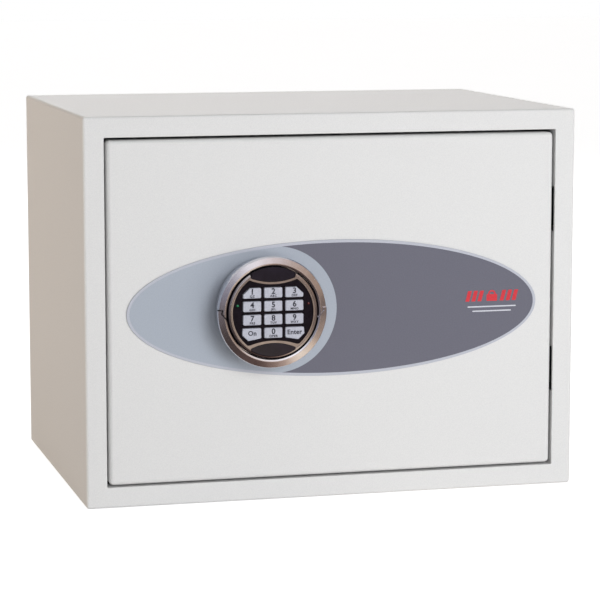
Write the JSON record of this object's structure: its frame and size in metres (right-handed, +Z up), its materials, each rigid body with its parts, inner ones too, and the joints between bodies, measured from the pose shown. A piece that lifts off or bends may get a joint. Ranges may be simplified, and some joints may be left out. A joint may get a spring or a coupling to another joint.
{
  "type": "in room safe",
  "caption": "Steel in-room safe with a flush hinged door, round electronic keypad, turning ring and sliding bolts behind the left edge.",
  "frame": {"origin": "middle of the whole safe's box, keypad included, on the surface it stands on", "axes": "+X to the right across the front, +Y from the front into the safe, +Z up"},
  "size_m": [0.392, 0.3048, 0.3],
  "materials": {
    "powder_coat": "light grey-white fine-textured powder coat",
    "zinc_steel": "bright zinc plate",
    "hard_steel": "oiled dark hardened steel",
    "nickel_chrome": "satin nickel-chrome plate",
    "badge_face": "satin screen-printed sheet, light blue-grey and slate grey",
    "black_moulding": "black moulding, satin gloss",
    "black_window": "black window, high gloss",
    "key_caps": "silver-lilac satin caps with dark digits",
    "silicone_mat": "matt silicone",
    "circuit_board": "green solder mask",
    "green_led": "tinted lens",
    "red_led": "tinted lens",
    "floor_felt": "dark needle felt",
    "grey_plastic": "grey moulding",
    "lock_casting": "die-cast, matt",
    "lead_sheath": "black sheath"
  },
  "bodies": {
    "body": {"outer_shell": "powder_coat", "back_panel": "powder_coat", "floor_mat": "floor_felt", "anchor_plug_1": "grey_plastic", "anchor_plug_2": "grey_plastic", "anchor_plug_3": "grey_plastic", "anchor_plug_4": "grey_plastic", "hinge_bracket_lower": "zinc_steel", "hinge_bracket_upper": "zinc_steel", "hinge_pin_lower": "hard_steel", "hinge_pin_upper": "hard_steel"},
    "door": {"door_skin": "powder_coat", "door_inner_plate": "zinc_steel", "hard_plate": "hard_steel", "badge_plate": "badge_face", "hinge_arm_lower": "hard_steel", "hinge_arm_upper": "hard_steel", "rear_cover": "powder_coat", "cover_screw_1": "zinc_steel", "cover_screw_2": "zinc_steel", "cover_screw_3": "zinc_steel", "cover_screw_4": "zinc_steel", "battery_pack": "grey_plastic", "battery_cover": "grey_plastic", "lock_body": "lock_casting", "bolt_guide_lower": "grey_plastic", "bolt_guide_upper": "grey_plastic", "spindle_bush": "grey_plastic", "keypad_base": "black_moulding", "keypad_face": "black_moulding", "keypad_trim": "nickel_chrome", "keypad_window": "black_window", "led_green": "green_led", "led_red": "red_led", "contact_left": "nickel_chrome", "contact_right": "nickel_chrome", "key_mat": "silicone_mat", "keypad_board": "circuit_board", "keypad_lead": "lead_sheath", "battery_lead": "lead_sheath"},
    "dial": {"bezel_ring": "nickel_chrome", "spindle": "zinc_steel", "drive_cam": "hard_steel"},
    "bolt_work": {"bolt_carriage": "zinc_steel", "bolt_lower": "nickel_chrome", "bolt_upper": "nickel_chrome"},
    "lock_bolt": {"lock_bolt": "nickel_chrome"},
    "contact_cover": {"contact_cover": "black_moulding"},
    "key_1": {"key_1": "key_caps"},
    "key_2": {"key_2": "key_caps"},
    "key_3": {"key_3": "key_caps"},
    "key_4": {"key_4": "key_caps"},
    "key_5": {"key_5": "key_caps"},
    "key_6": {"key_6": "key_caps"},
    "key_7": {"key_7": "key_caps"},
    "key_8": {"key_8": "key_caps"},
    "key_9": {"key_9": "key_caps"},
    "key_on": {"key_on": "key_caps"},
    "key_0": {"key_0": "key_caps"},
    "key_enter": {"key_enter": "key_caps"}
  },
  "joints": [
    {"name": "door_hinge", "type": "hinge", "parent": "body", "child": "door", "pos_m": [0.19, -0.1219, 0.15], "axis": [0, 0, 1], "range_deg": [0, 95]},
    {"name": "dial_turn", "type": "hinge", "parent": "door", "child": "dial", "pos_m": [-0.0551, -0.1276, 0.1502], "axis": [0, -1, 0], "range_deg": [0, 75]},
    {"name": "bolt_slide", "type": "slide", "parent": "door", "child": "bolt_work", "axis": [-1, 0, 0], "range_m": [0, 0.013]},
    {"name": "lock_bolt_slide", "type": "slide", "parent": "door", "child": "lock_bolt", "axis": [0, 0, 1], "range_m": [0, 0.008]},
    {"name": "contact_cover_hinge", "type": "hinge", "parent": "door", "child": "contact_cover", "pos_m": [-0.0551, -0.1524, 0.1172], "axis": [1, 0, 0], "range_deg": [0, 75]},
    {"name": "press_1", "type": "slide", "parent": "door", "child": "key_1", "axis": [0, 1, 0], "range_m": [0, 0.001], "stiffness_N_per_m": 300},
    {"name": "press_2", "type": "slide", "parent": "door", "child": "key_2", "axis": [0, 1, 0], "range_m": [0, 0.001], "stiffness_N_per_m": 300},
    {"name": "press_3", "type": "slide", "parent": "door", "child": "key_3", "axis": [0, 1, 0], "range_m": [0, 0.001], "stiffness_N_per_m": 300},
    {"name": "press_4", "type": "slide", "parent": "door", "child": "key_4", "axis": [0, 1, 0], "range_m": [0, 0.001], "stiffness_N_per_m": 300},
    {"name": "press_5", "type": "slide", "parent": "door", "child": "key_5", "axis": [0, 1, 0], "range_m": [0, 0.001], "stiffness_N_per_m": 300},
    {"name": "press_6", "type": "slide", "parent": "door", "child": "key_6", "axis": [0, 1, 0], "range_m": [0, 0.001], "stiffness_N_per_m": 300},
    {"name": "press_7", "type": "slide", "parent": "door", "child": "key_7", "axis": [0, 1, 0], "range_m": [0, 0.001], "stiffness_N_per_m": 300},
    {"name": "press_8", "type": "slide", "parent": "door", "child": "key_8", "axis": [0, 1, 0], "range_m": [0, 0.001], "stiffness_N_per_m": 300},
    {"name": "press_9", "type": "slide", "parent": "door", "child": "key_9", "axis": [0, 1, 0], "range_m": [0, 0.001], "stiffness_N_per_m": 300},
    {"name": "press_on", "type": "slide", "parent": "door", "child": "key_on", "axis": [0, 1, 0], "range_m": [0, 0.001], "stiffness_N_per_m": 300},
    {"name": "press_0", "type": "slide", "parent": "door", "child": "key_0", "axis": [0, 1, 0], "range_m": [0, 0.001], "stiffness_N_per_m": 300},
    {"name": "press_enter", "type": "slide", "parent": "door", "child": "key_enter", "axis": [0, 1, 0], "range_m": [0, 0.001], "stiffness_N_per_m": 300}
  ],
  "couplings": [
    {"joint": "bolt_slide", "follows": "dial_turn", "m_per_rad": 0.00993}
  ]
}
